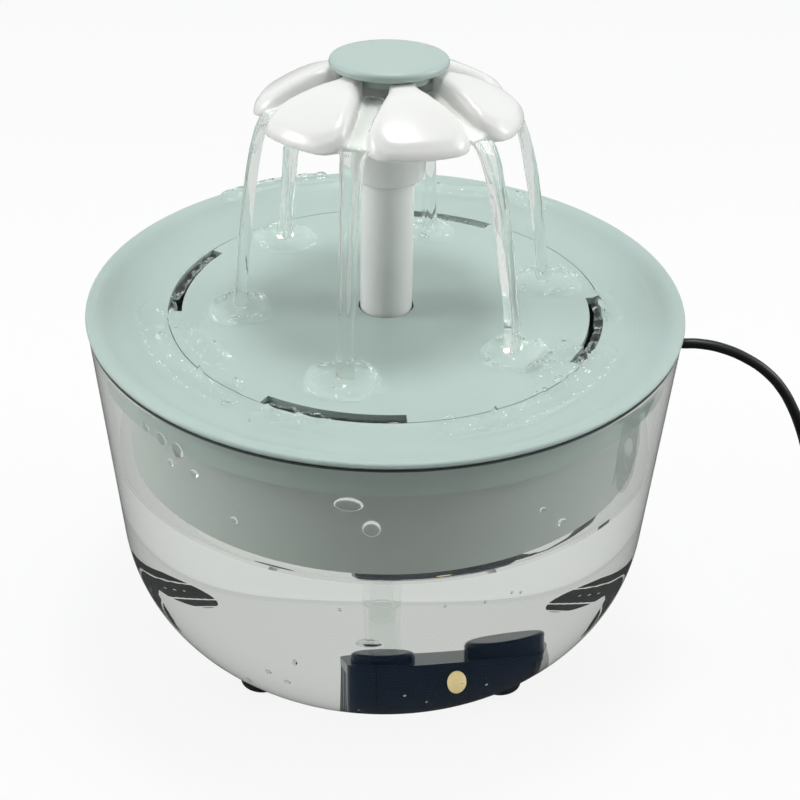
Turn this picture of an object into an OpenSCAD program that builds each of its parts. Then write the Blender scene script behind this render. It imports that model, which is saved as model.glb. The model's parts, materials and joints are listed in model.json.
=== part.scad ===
// Table-top pet water fountain: a clear round tank with a submerged pump, a dished
// drinking tray with a filter basin below it, and a flower-shaped spout on a riser tube.
// Millimetres. +Z is up, the origin is on the table under the centre of the tank.

/* [Tank] */
// Outer diameter of the clear tank at its rim
tank_d = 179.2; // [174:0.1:184]
// Height of the tank from the underside of its base to its rim
tank_h = 117.5; // [110:0.5:125]
// Taper of the tank wall from vertical, in degrees
tank_taper = 4.34; // [3:0.02:5.5]
// Outer radius of the curve between wall and base
tank_curve_r = 48.6; // [44:0.1:52]
// Thickness of the tank wall and floor
tank_wall = 2.2; // [1.8:0.1:2.8]
// Gap between the base and the table
base_gap = 1.5; // [1:0.1:3]
// Diameter of each rubber foot
foot_d = 14; // [10:0.5:16]
// Distance of the feet from the axis
foot_pitch_r = 54; // [48:0.5:58]

/* [Drinking tray] */
// Overhang of the drinking tray beyond the tank's rim
tray_overhang = 0.4; // [0.2:0.1:3]
// Radial width of the drinking trough round the centre plate
trough_w = 24.1; // [22.6:0.1:28]
// Moulding thickness of the tray
tray_t = 2; // [1.6:0.1:2.6]
// Height of the tray's crest above the tank rim
crest_h = 2.35; // [1.8:0.05:3.5]
// Depth of the drinking trough below the centre plate
trough_depth = 1.3; // [0.6:0.1:2]
// Length of the locating skirt inside the tank
skirt_h = 9.5; // [6:0.5:12]
// Radial clearance of the skirt in the tank
skirt_gap = 0.35; // [0.2:0.05:0.6]

/* [Centre plate] */
// Thickness of the centre plate
plate_t = 2.4; // [1.8:0.1:3]
// Depth of the plate's top below the tank rim
plate_sink = 0.8; // [0.4:0.1:1.6]
// Radial gap between the plate and the tray
plate_gap = 0.3; // [0.2:0.05:0.5]
// Radial width of the four return slots
slot_w = 3.9; // [2.5:0.1:4.4]
// Length of each return slot, in degrees
slot_arc = 37; // [25:1:42]
// Azimuth of the first return slot, in degrees
slot_az = -13; // [-20:1:-6]

/* [Filter basin] */
// Gap between the basin and the tank's wall at the basin's underside
basin_gap = 4.25; // [2.5:0.05:7]
// Depth of the basin's underside below the tank rim
basin_depth = 41.5; // [36:0.5:46]
// Wall and floor thickness of the basin
basin_t = 1.8; // [1.4:0.1:2.4]
// Outer diameter of the filter
filter_d = 120; // [112:0.5:121]
// Height of the foam disc under the filter pouch
foam_h = 6; // [4:0.5:8]
// Height of the filter pouch
pouch_h = 16; // [10:0.5:18]
// Thickness of the pouch's fabric
pouch_t = 1.2; // [0.8:0.1:1.6]

/* [Riser and flower] */
// Outer diameter of the riser tube
riser_d = 15.7; // [14:0.1:16.2]
// Wall of the riser tube
riser_t = 1.5; // [1.2:0.1:1.9]
// Height of the flower's collar above the centre plate
flower_rise = 42.3; // [34:0.1:52]
// Depth of the riser in the flower's collar
socket_depth = 17.5; // [12:0.5:18.5]
// Diameter of the flower head across its petals
flower_d = 78; // [74:0.5:82]
// Number of petals and water channels
petals = 6; // [5:1:7]
// Azimuth of the first petal, in degrees
petal_az = -75; // [-90:1:-60]
// Width of each water channel at its outer end
channel_w = 5.2; // [4.6:0.1:7]
// Width of the opening under the cap that feeds each channel
window_w = 7.8; // [6.4:0.1:8.4]
// Radius of the petals' outer corners
petal_corner_r = 6.5; // [5:0.25:7.5]
// Fall of the petals' tops from the cap to the tips
petal_drop = 11; // [8:0.5:13]
// Radius of the petals' softened edges
petal_edge = 3; // [2.4:0.1:3.4]
// Wall thickness of the petals
petal_t = 2; // [1.6:0.1:2.4]
// Diameter of the cap on the flower
cap_d = 34; // [31:0.2:37]
// Thickness of the cap's disc at its edge
cap_t = 2.3; // [1.8:0.1:3]

/* [Pump] */
// Length of the pump, cover included
pump_w = 51; // [48:0.5:53]
// Depth of the pump from front to back
pump_d = 25; // [24.5:0.25:27]
// Height of the pump housing
pump_h = 15; // [14.8:0.1:17]
// Length of the slotted cover on the pump's left end
cover_l = 7; // [6.5:0.25:9]
// Distance of the outlet from the pump's left end
outlet_inset = 13; // [12.5:0.25:14]
// Distance of the pump's back face in front of the riser
pump_setback = 26.8; // [25.5:0.1:28]
// Turn of the pump about the riser, in degrees
pump_turn = 6; // [0:1:8]
// Backward lean of the pump, whose front edge rests on the tank's curve, in degrees
pump_lean = 18; // [16:0.5:20]
// Wall of the pump housing
pump_t = 1.5; // [1.3:0.1:1.6]
// Radius of the impeller chamber
chamber_r = 6; // [5.8:0.05:6.1]
// Outer radius of the impeller
impeller_r = 5.4; // [5:0.1:5.5]
// Number of impeller vanes
vanes = 6; // [4:1:8]
// Radius of the rotor magnet
magnet_r = 3.7; // [3.4:0.1:3.8]
// Radius of the ceramic shaft
shaft_r = 0.8; // [0.6:0.05:0.9]
// Radial clearance of the rotor on its shaft
shaft_fit = 0.06; // [0.03:0.01:0.1]
// Outer radius of the pump's outlet stub
stub_r = 3; // [2.9:0.05:3.1]
// Wall of the clear hose between the pump and the riser
hose_t = 1.3; // [1:0.1:1.5]

/* [Cord] */
// Diameter of the supply cord
cord_d = 3.1; // [2.8:0.1:3.3]
// Azimuth at which the cord leaves the tank, in degrees
cord_az = -11; // [-11:1:-11]
// Mean diameter of the stored coil
coil_d = 34; // [32:0.5:37]

/* [Hidden] */
$fn = 96;
eps = 0.01;

// Levels and radii shared by the tank and what stands in it
rim_z = base_gap + tank_h;
curve_z = base_gap + tank_curve_r;
curve_x = tank_d / 2 - (tank_curve_r + (rim_z - curve_z) * sin(tank_taper)) / cos(tank_taper);
inner_curve_r = tank_curve_r - tank_wall;
floor_z = base_gap + tank_wall;
rim_round = 0.8;
function tank_r(z) = tank_d / 2 - (rim_z - z) * tan(tank_taper);
function tank_in_r(z) = tank_r(z) - tank_wall / cos(tank_taper);
function floor_at(r) = curve_z - sqrt(pow(inner_curve_r, 2) - pow(max(r - curve_x, 0), 2));

// Tray, plate and basin
plate_z = rim_z - plate_sink;
tray_r = tank_d / 2 + tray_overhang;
opening_r = tray_r - trough_w;
plate_r = opening_r - plate_gap;
lip_r = 0.8;
seat_step = 0.75;
seat_r = tank_d / 2 - 0.8;
basin_z = rim_z - basin_depth;
basin_r = tank_in_r(basin_z) - basin_gap;
basin_top = plate_z - trough_depth - tray_t + 0.3;
spigot_t = 1.8;
spigot_gap = 0.2;
spigot_h = 4;
tab_arc = 30;
tab_w = 4.4;
tab_t = 2;
hole_gap = 0.55;
riser_r = riser_d / 2;
guide_h = 20;
well_gap = 0.6;
well_h = 22;
recess_w = 5.4;
recess_depth = 5.2;
drain_count = 16;
drain_w = 3;
soft_gap = 0.3;
filter_z = basin_z + basin_t + soft_gap;
filter_in_r = riser_r + hole_gap + basin_t + 1;

// Riser, flower and cap
fit_gap = 0.1;
riser_z = rim_z - 72.8;
sleeve_seat = riser_z - 2;
hose_top = sleeve_seat - 16.2;
sleeve_top = riser_z + 12;
collar_z = plate_z + flower_rise;
riser_top = collar_z + socket_depth;
flower_r = flower_d / 2;
chamber_floor = collar_z + 26.6;
wall_top = chamber_floor + 6.5;
lip_z = wall_top - petal_drop - 1;
collar_wall = 2.9;
dish_t = 2;
ring_r = 15.2;
ring_t = 2;
plug_gap = 0.2;
window_z = chamber_floor + 0.5;
petal_base = wall_top - petal_drop - petal_edge - 0.3;

// Pump: its own axes run along its length, from back (0) to front (negative), and up from its underside;
// seated() leans it back, sets it in front of the riser and turns it
pump_x0 = -outlet_inset;
pump_x1 = pump_x0 + pump_w;
joint_x = pump_x0 + cover_l;
pump_edge_r = 6;
seat_gap = 0.35;
pump_corner = [pump_x1 - 0.3 * pump_edge_r, pump_d - 0.3 * pump_edge_r];
pump_rear_z = seat_gap + max(floor_at(norm([pump_corner[0], pump_setback])),
    floor_at(norm([pump_corner[0], pump_setback + pump_corner[1] * cos(pump_lean)]))
        - pump_corner[1] * sin(pump_lean));
function seat_pt(p) = let (
    y = p[1] * cos(pump_lean) + p[2] * sin(pump_lean) - pump_setback,
    z = -p[1] * sin(pump_lean) + p[2] * cos(pump_lean) + pump_rear_z)
    [p[0] * cos(pump_turn) - y * sin(pump_turn), p[0] * sin(pump_turn) + y * cos(pump_turn), z];
rotor_y = -pump_d / 2;
rotor_z = pump_h / 2;
chamber_x = 4;
well_x = 21;
rotor_gap = 0.6;
well_r = magnet_r + rotor_gap;
well_t = 0.8;
bush_t = 1.2;
seal_t = 2.2;
core_t = 2.6;
core_h = 7;
core_x = 6.8;
yoke_x = 24.6;
leg_gap = 0.3;
cavity_x = 6.4;
bore_r = 2.2;
outlet_z = rotor_z + chamber_r - bore_r - 0.1;
stub_l = 11;
hose_r = stub_r + hose_t;
led_x = 14.7;
led_z = 10.3;
led_r = 2.5;
board_t = 1.2;
gland_y = -8;
gland_l = 8.5;
pad_r = 3;

// Cord: exit level, recess radius and the two stretches' hand-laid points
cord_r = cord_d / 2;
exit_z = rim_z - 3;
cord_sides = 8;
// the fixed stretch from the pump to the rim
lead_pts = concat([for (x = [-1.5, 2.5, 5.5, 9, 13]) seat_pt([pump_x1 + x, gland_y, rotor_z])],
    [[60, -20.6, 18.6], [65.5, -15.4, 23.6], [69.6, -9.8, 29.4], [72.4, -5.4, 37], [74, -3.4, 45.6],
    [75.2, -3.6, 54], [75.9, -6, 62], [76.1, -10, 69], [76, -13.4, 74.5], [76, -14.6, 79], [76, -14.8, 84],
    [76, -14.8, 92], [76, -14.8, 100], [76.4, -14.9, 104.2], [77.6, -15.1, 108.4], [80.2, -15.6, 112.2],
    [84, -16.3, 114.9], [88.4, -17.2, 116]]);
// the free stretch from the rim to the coil on the table
free_pts = [[88.4, -17.2, 116], [92.6, -18.1, 116.5], [99.6, -19.6, 115.9], [107.4, -21.4, 113.2],
    [113.4, -22.8, 109.4], [118, -23.8, 104.6], [121.6, -24.6, 99], [124.8, -25.2, 92.4],
    [127.8, -25.7, 84.6], [130.8, -26, 76], [133.8, -26.1, 67], [137, -25.9, 57.6],
    [140.4, -25.5, 48], [144.2, -24.7, 38.4], [148.6, -23.5, 29], [153.8, -21.8, 20],
    [160, -19.4, 11.6], [167, -16.4, 5.2], [174.6, -13.6, 2], [180, -12.3, 1.6]];
coil_x = 181;
coil_y = 7.8;
coil_in = coil_d / 2 - 1.5 * cord_d;
coil_out = coil_d / 2 + 1.5 * cord_d;
coil_h = 4 * cord_d;
tail_x = coil_x + coil_out - cord_r;
plug_z = 4;
tail_pts = [[tail_x, coil_y, coil_h - cord_r], [tail_x, coil_y + 6, coil_h - 1.8],
    [tail_x, coil_y + 12, 9], [tail_x, coil_y + 17.5, 6.6], [tail_x, coil_y + 22, 4.7],
    [tail_x, coil_y + 25.5, plug_z], [tail_x, coil_y + 30, plug_z]];
grip_y = coil_y + 26;
relief_l = 12;
grip_l = 24;
grip_w = 14.5;
grip_h = 8;
shell_w = 12;
shell_h = 4.5;
shell_t = 0.35;
shell_l = 12;

sage = "#b7c9c1";
white = "#f2f2ef";
navy = "#131d2b";

// ---- outline helpers ----
function arc(c, r, a0, a1, n = 16) =
    [for (i = [0 : n]) c + r * [cos(a0 + (a1 - a0) * i / n), sin(a0 + (a1 - a0) * i / n)]];
function bez(p, n = 12) = [for (i = [0 : n]) let (t = i / n, s = 1 - t)
    s * s * s * p[0] + 3 * s * s * t * p[1] + 3 * s * t * t * p[2] + t * t * t * p[3]];

module ring(r0, r1, z0, z1) {
    translate([0, 0, z0]) difference() {
        cylinder(r = r1, h = z1 - z0);
        translate([0, 0, -1]) cylinder(r = r0, h = z1 - z0 + 2);
    }
}

// a wedge of the given angle about azimuth az, for cutting rings into arcs
module sector(az, angle, r, z0, z1) {
    translate([0, 0, z0]) rotate(az - angle / 2) linear_extrude(z1 - z0)
        polygon([[0, 0], [r, 0], [r / cos(angle / 2) * cos(angle / 2), r * tan(angle / 2)],
            r * [cos(angle), sin(angle)]]);
}

// a block with rounded upright edges
module block(x0, x1, y0, y1, z0, z1, r) {
    translate([0, 0, z0]) linear_extrude(z1 - z0) union() {
        translate([x0 + r, y0]) square([x1 - x0 - 2 * r, y1 - y0]);
        translate([x0, y0 + r]) square([x1 - x0, y1 - y0 - 2 * r]);
        for (x = [x0 + r, x1 - r], y = [y0 + r, y1 - r]) translate([x, y]) circle(r);
    }
}

// a round cord swept along a list of points, with its rings square to the route
function tangent(p, i) = let (a = p[max(i - 1, 0)], b = p[min(i + 1, len(p) - 1)]) (b - a) / norm(b - a);
function side_of(t) = let (s = cross(t, abs(t[2]) > 0.9 ? [1, 0, 0] : [0, 0, 1])) s / norm(s);
function carried(p, i) = i == 0 ? side_of(tangent(p, 0))
    : let (u = carried(p, i - 1), t = tangent(p, i), v = u - (u * t) * t) v / norm(v);
module swept_cord(p, r, sides = cord_sides) {
    rings = [for (i = [0 : len(p) - 1]) let (t = tangent(p, i), u = carried(p, i), v = cross(t, u))
        [for (k = [0 : sides - 1]) p[i] + r * (cos(360 * k / sides) * u + sin(360 * k / sides) * v)]];
    last = (len(p) - 1) * sides;
    polyhedron(
        points = [for (q = rings, c = q) c],
        faces = concat(
            [[for (k = [0 : sides - 1]) k]],
            [for (i = [0 : len(p) - 2], k = [0 : sides - 1], h = [0, 1]) let (
                a = i * sides + k, b = i * sides + (k + 1) % sides)
                h == 0 ? [a, b + sides, b] : [a, a + sides, b + sides]],
            [[for (k = [0 : sides - 1]) last + sides - 1 - k]]));
}

// ---- tank ----
module tank_outside() {
    rotate_extrude() polygon(concat([[0, base_gap]],
        arc([curve_x, curve_z], tank_curve_r, -90, -tank_taper, 24),
        [[tank_d / 2, rim_z], [0, rim_z]]));
}

module tank_inside() {
    rotate_extrude() polygon(concat([[0, floor_z]],
        arc([curve_x, curve_z], inner_curve_r, -90, -tank_taper, 24),
        [[tank_in_r(rim_z + 1), rim_z + 1], [0, rim_z + 1]]));
}

module tank() {
    color("#dfe6e6", 0.35) difference() {
        rotate_extrude() polygon(concat([[0, base_gap]],
            arc([curve_x, curve_z], tank_curve_r, -90, -tank_taper, 24),
            arc([tank_d / 2 - rim_round, rim_z - rim_round], rim_round, 0, 90, 4),
            arc([tank_in_r(rim_z) + rim_round, rim_z - rim_round], rim_round, 90, 180, 4),
            arc([curve_x, curve_z], inner_curve_r, -tank_taper, -90, 24),
            [[0, floor_z]]));
        cord_notch(tank_in_r(exit_z) - 3, tank_d / 2 + 3, exit_z - 0.3, cord_r + 0.25, rim_z + 1);
    }
}

// a radial slot for the cord with a round bottom, open at its top
module cord_notch(r0, r1, z, r, top) {
    rotate(cord_az) translate([r0, 0, z]) {
        rotate([0, 90, 0]) cylinder(r = r, h = r1 - r0);
        translate([0, -r, 0]) cube([r1 - r0, 2 * r, top - z]);
    }
}

module tank_feet() {
    color("#20272a") difference() {
        for (a = [45 : 90 : 315]) rotate(a) translate([foot_pitch_r, 0, 0]) cylinder(d = foot_d, h = 12);
        tank_outside();
        // the bevel round each foot's tread
        for (a = [45 : 90 : 315]) rotate(a) translate([foot_pitch_r, 0, 0]) rotate_extrude()
            polygon([[foot_d / 2 - 1, -eps], [foot_d / 2 + 1, -eps], [foot_d / 2 + 1, 2 - eps]]);
    }
}

// ---- drinking tray ----
module tray_section() {
    in_r = opening_r;
    lip_x = tray_r - lip_r;
    top = rim_z + crest_h;
    skirt_r1 = tank_in_r(rim_z) - skirt_gap;
    skirt_r2 = tank_in_r(rim_z - skirt_h) - skirt_gap;
    under = basin_top;
    polygon(concat(
        bez([[in_r, plate_z], [in_r + 5, plate_z - trough_depth * 1.35],
            [in_r + 11, plate_z - trough_depth * 1.3], [in_r + 15.4, plate_z + 0.35]]),
        bez([[in_r + 15.4, plate_z + 0.35], [in_r + 18, plate_z + 1.35],
            [in_r + 19.4, top], [in_r + 21.9, top]], 8),
        arc([lip_x, top - lip_r], lip_r, 90, -90, 8),
        [[seat_r, top - 2 * lip_r], [seat_r, rim_z], [skirt_r1, rim_z], [skirt_r2, rim_z - skirt_h],
            [skirt_r2 - tray_t + 0.2, rim_z - skirt_h], [skirt_r1 - tray_t, rim_z - 1.6],
            [in_r + 17, plate_z - tray_t + 0.9], [basin_r + 1.2, under], [basin_r - basin_t - 1.2, under],
            [in_r + 3, under - 0.1], [in_r, plate_z - plate_t]]));
}

module drinking_tray() {
    in_r = opening_r;
    spigot_r = basin_r - basin_t - spigot_gap;
    color(sage) difference() {
        union() {
            rotate_extrude() tray_section();
            // the ring that the basin's rim pushes over
            ring(spigot_r - spigot_t, spigot_r, basin_top - spigot_h, basin_top + 0.5);
            // four tabs between the slots carry the centre plate
            intersection() {
                ring(in_r - tab_w, in_r + 2.5, plate_z - plate_t - tab_t, plate_z - plate_t);
                for (k = [0 : 3]) sector(slot_az + 45 + 90 * k, tab_arc, in_r + 10, 0, rim_z);
            }
        }
        // the way out for the cord, open downwards through the skirt
        rotate(cord_az) translate([basin_r + 1, -cord_r - 0.45, rim_z - skirt_h - 1])
            cube([tank_d / 2 - basin_r - 3, cord_d + 0.9, skirt_h - 0.2]);
    }
}

// ---- centre plate ----
module centre_plate() {
    color(sage) difference() {
        translate([0, 0, plate_z - plate_t]) cylinder(r = plate_r, h = plate_t);
        translate([0, 0, plate_z - plate_t - 1]) cylinder(r = riser_r + hole_gap, h = plate_t + 2);
        intersection() {
            ring(plate_r - slot_w, plate_r + 2, plate_z - plate_t - 1, plate_z + 1);
            for (k = [0 : 3])
                sector(slot_az + 90 * k, slot_arc, plate_r + 10, plate_z - plate_t - 2, rim_z + 2);
        }
    }
}

// ---- filter basin and filter ----
module cord_recess(grow, z0, z1) {
    rotate(cord_az) translate([basin_r - recess_depth - grow, -recess_w / 2 - grow, z0])
        cube([recess_depth + grow + 4, recess_w + 2 * grow, z1 - z0]);
}

module filter_basin() {
    guide_r = riser_r + hole_gap;
    color("#a9bab2") difference() {
        union() {
            difference() {
                rotate_extrude() polygon(concat([[0, basin_z]],
                    arc([basin_r - 1.5, basin_z + 1.5], 1.5, -90, 0, 5),
                    [[basin_r, basin_top], [0, basin_top]]));
                difference() {
                    translate([0, 0, basin_z + basin_t])
                        cylinder(r = basin_r - basin_t, h = basin_top - basin_z);
                    cord_recess(basin_t, basin_z - 1, basin_top - spigot_h - 0.5);
                }
            }
            // the well that the filter drops into, and the guide round the riser
            ring(filter_d / 2 + well_gap, filter_d / 2 + well_gap + 1.6, basin_z + 1, basin_z + well_h);
            ring(guide_r, guide_r + basin_t, basin_z + 1, basin_z + guide_h);
        }
        cord_recess(0, basin_z - 1, basin_top + 1);
        translate([0, 0, basin_z - 1]) cylinder(r = guide_r, h = guide_h + 2);
        for (k = [0 : drain_count - 1]) rotate(360 * (k + 0.5) / drain_count)
            translate([filter_in_r + 4, -drain_w / 2, basin_z - 1])
                cube([filter_d / 2 - filter_in_r - 8, drain_w, basin_t + 2]);
    }
}

module filter_foam() {
    color("#3c4144") ring(filter_in_r, filter_d / 2, filter_z, filter_z + foam_h);
}

// the pouch is a closed ring of fabric with rounded edges
module pouch_form(inset) {
    r = 4 - inset;
    x0 = filter_in_r + inset;
    x1 = filter_d / 2 - inset;
    z0 = filter_z + foam_h + inset;
    z1 = filter_z + foam_h + pouch_h - inset;
    rotate_extrude() polygon(concat(
        arc([x1 - r, z0 + r], r, -90, 0, 6), arc([x1 - r, z1 - r], r, 0, 90, 6),
        arc([x0 + r, z1 - r], r, 90, 180, 6), arc([x0 + r, z0 + r], r, 180, 270, 6)));
}

module filter_pouch() {
    color("#e9ebe6") difference() {
        pouch_form(0);
        pouch_form(pouch_t);
    }
}

module filter_carbon() {
    color("#2a2c2d") pouch_form(pouch_t);
}

// ---- riser and flower ----
module riser_tube() {
    color(white) difference() {
        translate([0, 0, riser_z]) cylinder(r = riser_r, h = riser_top - riser_z);
        translate([0, 0, riser_z - 1]) cylinder(r = riser_r - riser_t, h = riser_top - riser_z + 2);
    }
}

module riser_sleeve() {
    bore = bore_r + 0.1;
    spigot = riser_r - riser_t - fit_gap;
    color("#d9dedc", 0.5) rotate_extrude() polygon([[bore, elbow_top], [stub_r, elbow_top],
        [stub_r, hose_top], [hose_r, hose_top], [hose_r, sleeve_seat - 4], [riser_r, sleeve_seat],
        [riser_r, riser_z], [spigot, riser_z], [spigot - 0.3, sleeve_top], [spigot - 1.6, sleeve_top],
        [spigot - 1.6, riser_z], [bore, riser_z - 5]]);
}

// outline of one petal about +X: sides that close in on the channels, rounded outer corners
module petal_plan(inset, r_in) {
    half = 180 / petals;
    edge = channel_w / 2 + inset;
    out = flower_r - inset;
    rc = petal_corner_r - inset / 2;
    off = asin((edge + rc) / (out - rc));
    c = (out - rc) * [cos(half - off), sin(half - off)];
    n = [sin(half), -cos(half)];
    t = c - rc * n;
    in_off = asin((window_w / 2 + inset) / r_in);
    root = r_in * [cos(half - in_off), sin(half - in_off)];
    polygon([[root[0], root[1]], [root[0], -root[1]], [t[0], -t[1]], [c[0], -c[1]], c, t]);
    for (s = [1, -1]) translate([c[0], s * c[1]]) circle(rc, $fn = 48);
    intersection() {
        circle(out, $fn = 128);
        polygon([[0, 0], out / cos(half - off) * 1.3 * [cos(half - off), -sin(half - off)],
            out / cos(half - off) * 1.3 * [cos(half - off), sin(half - off)]]);
    }
}

// height of the petals' tops at radius r: level under the cap, falling ever more steeply to the tips
crown_r = ring_r - 1.2;
function crown_z(r) = wall_top - petal_drop * pow(max(r - crown_r, 0) / (flower_r - crown_r), 1.6);

// the petals set in by one amount and lowered by another, down to the given level
module petal_blocks(inset, lower, base) {
    past = flower_r + 0.7;
    intersection() {
        rotate_extrude() polygon(concat([[ring_r - 5.4, crown_z(0) - lower]],
            [for (i = [0 : 8]) let (r = crown_r + (past - crown_r) * i / 8) [r, crown_z(r) - lower]],
            [[past, base], [ring_r - 5.4, base]]));
        translate([0, 0, base - 1]) linear_extrude(wall_top - base + 2) for (k = [0 : petals - 1])
            rotate(petal_az + 360 * k / petals)
                petal_plan(inset, ring_r - 1);
    }
}

module flower_head() {
    bore = riser_r + fit_gap;
    pass = riser_r - riser_t;
    out = bore + collar_wall;
    lip_r1 = flower_r - 4.6;
    skin = petal_t + 2;
    hollow_r = ring_r + 3;
    web_w = channel_w + 6;
    color(white) difference() {
        union() {
            // collar, funnel and channel floors
            rotate_extrude() polygon([[bore, collar_z], [out - 0.8, collar_z], [out, collar_z + 0.8],
                [out + 0.8, chamber_floor - 8], [out + 2.6, chamber_floor - 4.4],
                [lip_r1 - 1, petal_base + 0.2], [lip_r1, petal_base + 0.8], [lip_r1, lip_z - 0.5],
                [lip_r1 - 1, lip_z], [ring_r, chamber_floor + 0.4], [ring_r, wall_top],
                [ring_r - ring_t, wall_top], [ring_r - ring_t, chamber_floor], [pass, chamber_floor - 4],
                [pass, riser_top], [bore, riser_top]]);
            // the petals, their top edges softened in three steps
            for (a = [20, 52, 90]) petal_blocks(petal_edge * (1 - sin(a)), petal_edge * (1 - cos(a)),
                petal_base + 0.1 * (1 - sin(a)));
        }
        // hollow from below, with a web left under each channel
        difference() {
            rotate_extrude() polygon([[hollow_r, petal_base - 20], [hollow_r, wall_top - skin],
                [hollow_r + 6, wall_top - skin - 1.6], [flower_r - skin - 2.6, lip_z + 0.8],
                [flower_r - skin, petal_base + 0.5], [flower_r - skin, petal_base - 20]]);
            for (k = [0 : petals - 1]) rotate(petal_az + 360 * (k + 0.5) / petals)
                translate([0, -web_w / 2, petal_base - 21]) cube([flower_d, web_w, 2 * flower_r]);
        }
        for (k = [0 : petals - 1]) rotate(petal_az + 360 * (k + 0.5) / petals)
            translate([ring_r - ring_t - 1, -window_w / 2 + 0.3, window_z])
                cube([ring_t + 2, window_w - 0.6, 2 * ring_r]);
        // the chamber stays clear of the petals' roots
        translate([0, 0, chamber_floor]) cylinder(r = ring_r - ring_t, h = 2 * ring_r);
    }
}

module flower_cap() {
    r = cap_d / 2;
    round = 1.1;
    plug_r = ring_r - ring_t - plug_gap;
    z0 = wall_top;
    color(sage) rotate_extrude() polygon(concat(
        [[plug_r - 1.5, z0 - 2.6], [plug_r, z0 - 2.6], [plug_r, z0]],
        arc([r - round, z0 + round], round, -90, 60, 6),
        bez([[r - 2.6, z0 + cap_t], [r * 0.6, z0 + cap_t + 0.5], [r * 0.3, z0 + cap_t + 0.6],
            [0, z0 + cap_t + 0.6]], 6),
        [[0, z0 + 0.6], [plug_r - 1.5, z0 + 0.6]]));
}

// ---- pump ----
module seated() {
    rotate(pump_turn) translate([0, -pump_setback, pump_rear_z]) rotate([-pump_lean, 0, 0]) children();
}

// a cylinder along the rotor's axis
module axle(r, x0, x1) {
    translate([x0, rotor_y, rotor_z]) rotate([0, 90, 0]) cylinder(r = r, h = x1 - x0);
}

// round raised boss with a softened edge on the pump's top
module pump_boss(x, r, h) {
    translate([x, rotor_y, pump_h]) rotate_extrude() polygon(concat(
        [[0, -1], [r, -1]], arc([r - 1.6, h - 1.6], 1.6, 0, 90, 5), [[0, h]]));
}

// the form that the housing and its cover share
module pump_form() {
    block(pump_x0, pump_x1, -pump_d, 0, 0, pump_h, pump_edge_r);
    pump_boss(pump_x0 + 9.8, 8, 3.1);
    pump_boss(pump_x0 + 40.4, 10.4, 5.2);
}

module pump_housing() {
    far = pump_d + pump_w;
    color(navy) seated() difference() {
        union() {
            intersection() {
                pump_form();
                translate([joint_x, -far, -far]) cube(2 * far);
            }
            translate([0, -1, outlet_z]) rotate([-90, 0, 0]) cylinder(r = stub_r, h = stub_l + 1);
        }
        axle(chamber_r, joint_x - 1, chamber_x);
        axle(chamber_r + 0.8, joint_x - 1, joint_x + 1.2);
        axle(well_r, chamber_x - 1, well_x);
        translate([0, rotor_y, outlet_z]) rotate([-90, 0, 0]) cylinder(r = bore_r, h = far);
        // the motor's cavity, open at the right end, round the rotor's well
        difference() {
            block(cavity_x, pump_x1 + 10, -pump_d + pump_t, -pump_t, pump_t, pump_h - pump_t, 1);
            axle(well_r + well_t, cavity_x - 1, well_x + well_t);
        }
        translate([led_x, -pump_d - 1, led_z]) rotate([-90, 0, 0]) cylinder(r = led_r + 0.05, h = pump_t + 2);
    }
}

module pump_end_seal() {
    gap = 0.05;
    color("#0c1018") seated() difference() {
        block(pump_x1 - seal_t, pump_x1, -pump_d + pump_t + gap, -pump_t - gap, pump_t + gap,
            pump_h - pump_t - gap, 1);
        translate([pump_x1 - seal_t - 1, gland_y, rotor_z]) rotate([0, 90, 0])
            cylinder(r = cord_r + 0.1, h = seal_t + 2);
    }
}

module stator_core() {
    y = well_r + well_t + leg_gap;
    color("#8d9297") seated() translate([0, rotor_y, rotor_z - core_h / 2]) {
        for (s = [1, -1]) translate([core_x, s > 0 ? y : -y - core_t, 0])
            cube([yoke_x - core_x + core_t, core_t, core_h]);
        translate([yoke_x, -y - core_t, 0]) cube([core_t, 2 * (y + core_t), core_h]);
    }
}

module stator_coil() {
    gap = 0.1;
    wound = 2;
    color("#b4642e") seated() translate([yoke_x, rotor_y + 4.2, rotor_z - core_h / 2])
        rotate([90, 0, 0]) linear_extrude(8.4) difference() {
            union() {
                translate([-wound, -wound + 0.6]) square([core_t + 2 * wound, core_h + 2 * wound - 1.2]);
                translate([-wound + 0.6, -wound]) square([core_t + 2 * wound - 1.2, core_h + 2 * wound]);
            }
            translate([-gap, -gap]) square([core_t + 2 * gap, core_h + 2 * gap]);
        }
}

module driver_board() {
    color("#2f6b45") seated() translate([11, -pump_d + pump_t + 0.2, pump_t + 1])
        cube([24, board_t, pump_h - 2 * pump_t - 2]);
}

module led_lens() {
    face = -pump_d - 0.3;
    color("#f3dfa0") seated() translate([led_x, 0, led_z]) {
        translate([0, face, 0]) rotate([-90, 0, 0]) cylinder(r = led_r, h = pump_t + 0.5);
        translate([0, face, 0]) rotate([90, 0, 0]) intersection() {
            translate([0, 0, -led_r * 0.9]) sphere(r = led_r * 1.345);
            cylinder(r = led_r, h = 3);
        }
    }
}

module rotor_magnet() {
    color("#2b2b2e") seated() difference() {
        axle(magnet_r, chamber_x + 0.8, well_x - bush_t - 0.4);
        axle(shaft_r + shaft_fit, chamber_x - 2, well_x);
    }
}

// one curved vane between the hub and the impeller's edge
module vane() {
    sweep = 34;
    thick = 0.8;
    hub = 2;
    outer = [for (i = [0 : 6]) let (q = i / 6, r = hub + (impeller_r - hub - 0.1) * q, a = -sweep * q)
        r * [cos(a), sin(a)]];
    inner = [for (i = [6 : -1 : 0]) let (q = i / 6, r = hub + (impeller_r - hub - 0.1) * q, a = -sweep * q)
        r * [cos(a), sin(a)] + thick * [sin(a) * -1, cos(a)]];
    polygon(concat(outer, inner));
}

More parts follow.
